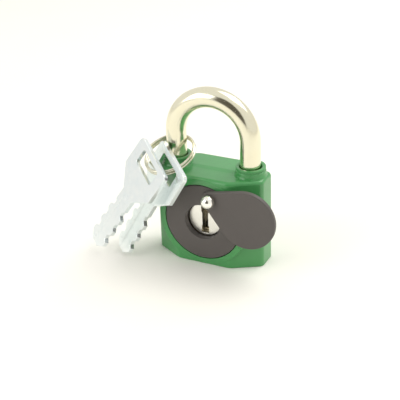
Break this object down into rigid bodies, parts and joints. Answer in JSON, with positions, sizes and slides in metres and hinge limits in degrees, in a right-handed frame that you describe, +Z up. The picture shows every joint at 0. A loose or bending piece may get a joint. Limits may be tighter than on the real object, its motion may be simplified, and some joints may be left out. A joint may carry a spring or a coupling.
{
  "type": "padlock",
  "caption": "Padlock with a cast eight-sided body, a sliding round-bar shackle, a swinging keyhole shutter and two keys on a split ring.",
  "frame": {"origin": "centre of the flat base of the lock body", "axes": "+Z up along the shackle legs, keyhole facing -Y, +X to the right as seen from the keyhole side"},
  "size_m": [0.087, 0.036, 0.0775],
  "materials": {
    "green_enamel": "gloss",
    "dark_plastic": "satin",
    "nickel_plate": "polished",
    "polished_steel": "polished",
    "zinc_plate": "satin",
    "spring_steel": "plain",
    "brass": "plain"
  },
  "bodies": {
    "lock_body": {"body_casting": "green_enamel", "shackle_spring": "spring_steel", "spring_seat": "spring_steel", "heel_pin": "spring_steel", "weather_cover": "dark_plastic", "cover_pin_1": "spring_steel", "cover_pin_2": "spring_steel", "pivot_rivet": "polished_steel", "rivet_washer": "spring_steel", "cylinder_housing": "brass"},
    "shackle_bar": {"shackle": "nickel_plate"},
    "shutter": {"shutter_flap": "dark_plastic"},
    "plug": {"lock_plug": "polished_steel", "plug_clip": "spring_steel", "lock_cam": "spring_steel"},
    "bolt": {"locking_bolt": "spring_steel"},
    "tumbler_1": {"tumbler_plate_1": "brass"},
    "tumbler_2": {"tumbler_plate_2": "brass"},
    "tumbler_3": {"tumbler_plate_3": "brass"},
    "tumbler_4": {"tumbler_plate_4": "brass"},
    "tumbler_5": {"tumbler_plate_5": "brass"},
    "ring": {"split_ring": "nickel_plate"},
    "front_key": {"key_front": "zinc_plate"},
    "rear_key": {"key_rear": "zinc_plate"}
  },
  "joints": [
    {"name": "shackle_lift", "type": "slide", "parent": "lock_body", "child": "shackle_bar", "axis": [0, 0, 1], "range_m": [0, 0.0135]},
    {"name": "shutter_swing", "type": "hinge", "parent": "lock_body", "child": "shutter", "pos_m": [0.0047, -0.0141, 0.0329], "axis": [0, 1, 0], "range_deg": [0, 90]},
    {"name": "plug_turn", "type": "hinge", "parent": "lock_body", "child": "plug", "pos_m": [0, 0, 0.0205], "axis": [0, 1, 0], "range_deg": [-90, 0]},
    {"name": "bolt_throw", "type": "slide", "parent": "lock_body", "child": "bolt", "axis": [1, 0, 0], "range_m": [0, 0.0032]},
    {"name": "tumbler_slide_1", "type": "slide", "parent": "plug", "child": "tumbler_1", "axis": [0, 0, 1], "range_m": [0, 0.0008]},
    {"name": "tumbler_slide_2", "type": "slide", "parent": "plug", "child": "tumbler_2", "axis": [0, 0, 1], "range_m": [0, 0.0008]},
    {"name": "tumbler_slide_3", "type": "slide", "parent": "plug", "child": "tumbler_3", "axis": [0, 0, 1], "range_m": [0, 0.0008]},
    {"name": "tumbler_slide_4", "type": "slide", "parent": "plug", "child": "tumbler_4", "axis": [0, 0, 1], "range_m": [0, 0.0008]},
    {"name": "tumbler_slide_5", "type": "slide", "parent": "plug", "child": "tumbler_5", "axis": [0, 0, 1], "range_m": [0, 0.0008]},
    {"name": "ring_swing", "type": "hinge", "parent": "lock_body", "child": "ring", "pos_m": [-0.0173, 0, 0.0475], "axis": [0, 0, 1], "range_deg": [-60, 5]},
    {"name": "front_key_swing", "type": "hinge", "parent": "ring", "child": "front_key", "pos_m": [-0.02391, -0.01301, 0.04138], "axis": [-0.4354, -0.8037, 0.4055], "range_deg": [-16, 0]},
    {"name": "rear_key_swing", "type": "hinge", "parent": "ring", "child": "rear_key", "pos_m": [-0.01427, -0.01399, 0.0426], "axis": [-0.5106, -0.7759, 0.3704], "range_deg": [-5, 0]}
  ],
  "couplings": [
    {"joint": "bolt_throw", "follows": "plug_turn", "m_per_rad": -0.002037}
  ]
}
